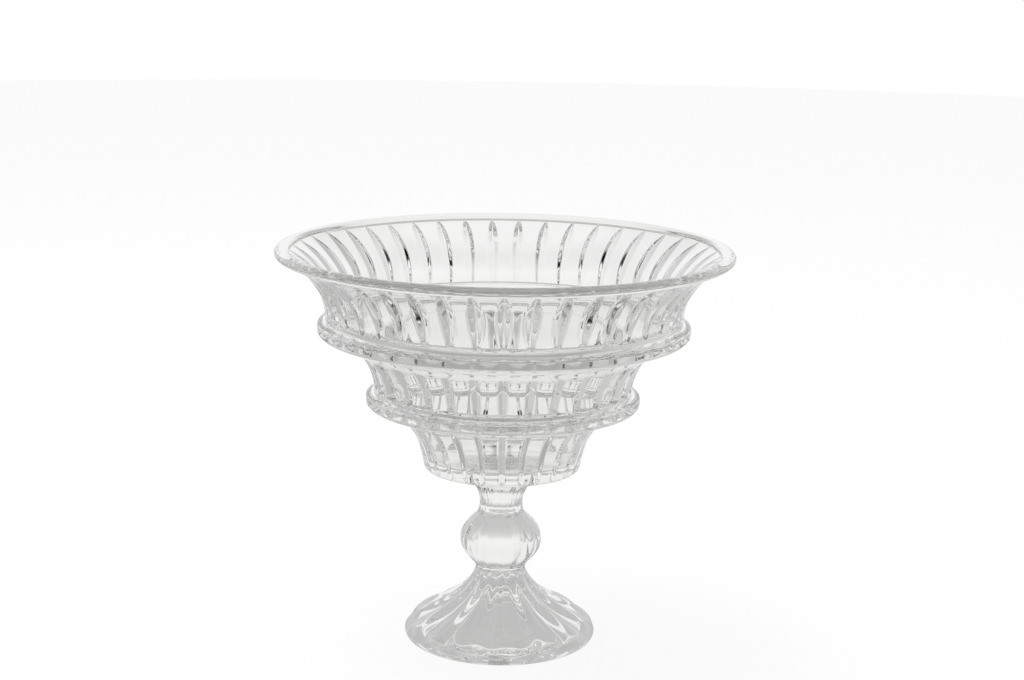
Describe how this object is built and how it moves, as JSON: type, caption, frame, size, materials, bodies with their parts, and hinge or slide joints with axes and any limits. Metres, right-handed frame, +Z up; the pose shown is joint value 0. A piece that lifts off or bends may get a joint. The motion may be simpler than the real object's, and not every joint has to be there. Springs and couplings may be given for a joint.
{
  "type": "footed bowl",
  "caption": "Clear crystal footed bowl with stepped, flared and fluted tiers, a rolled rim, a rounded knop stem and a spreading round foot.",
  "frame": {"origin": "middle of the surface that the foot stands on", "axes": "+Z up along the bowl's axis, -Y the front that the picture shows"},
  "size_m": [0.28, 0.28, 0.2481],
  "materials": {
    "crystal": "clear, fire-polished pressed crystal",
    "clear_bond": "clear cured adhesive"
  },
  "bodies": {
    "root": {"upper_tier": "crystal", "upper_bond": "clear_bond", "middle_tier": "crystal", "middle_bond": "clear_bond", "lower_cup": "crystal", "cup_bond": "clear_bond", "neck": "crystal", "knop_bond": "clear_bond", "knop": "crystal", "foot_bond": "clear_bond", "foot": "crystal"}
  },
  "joints": []
}
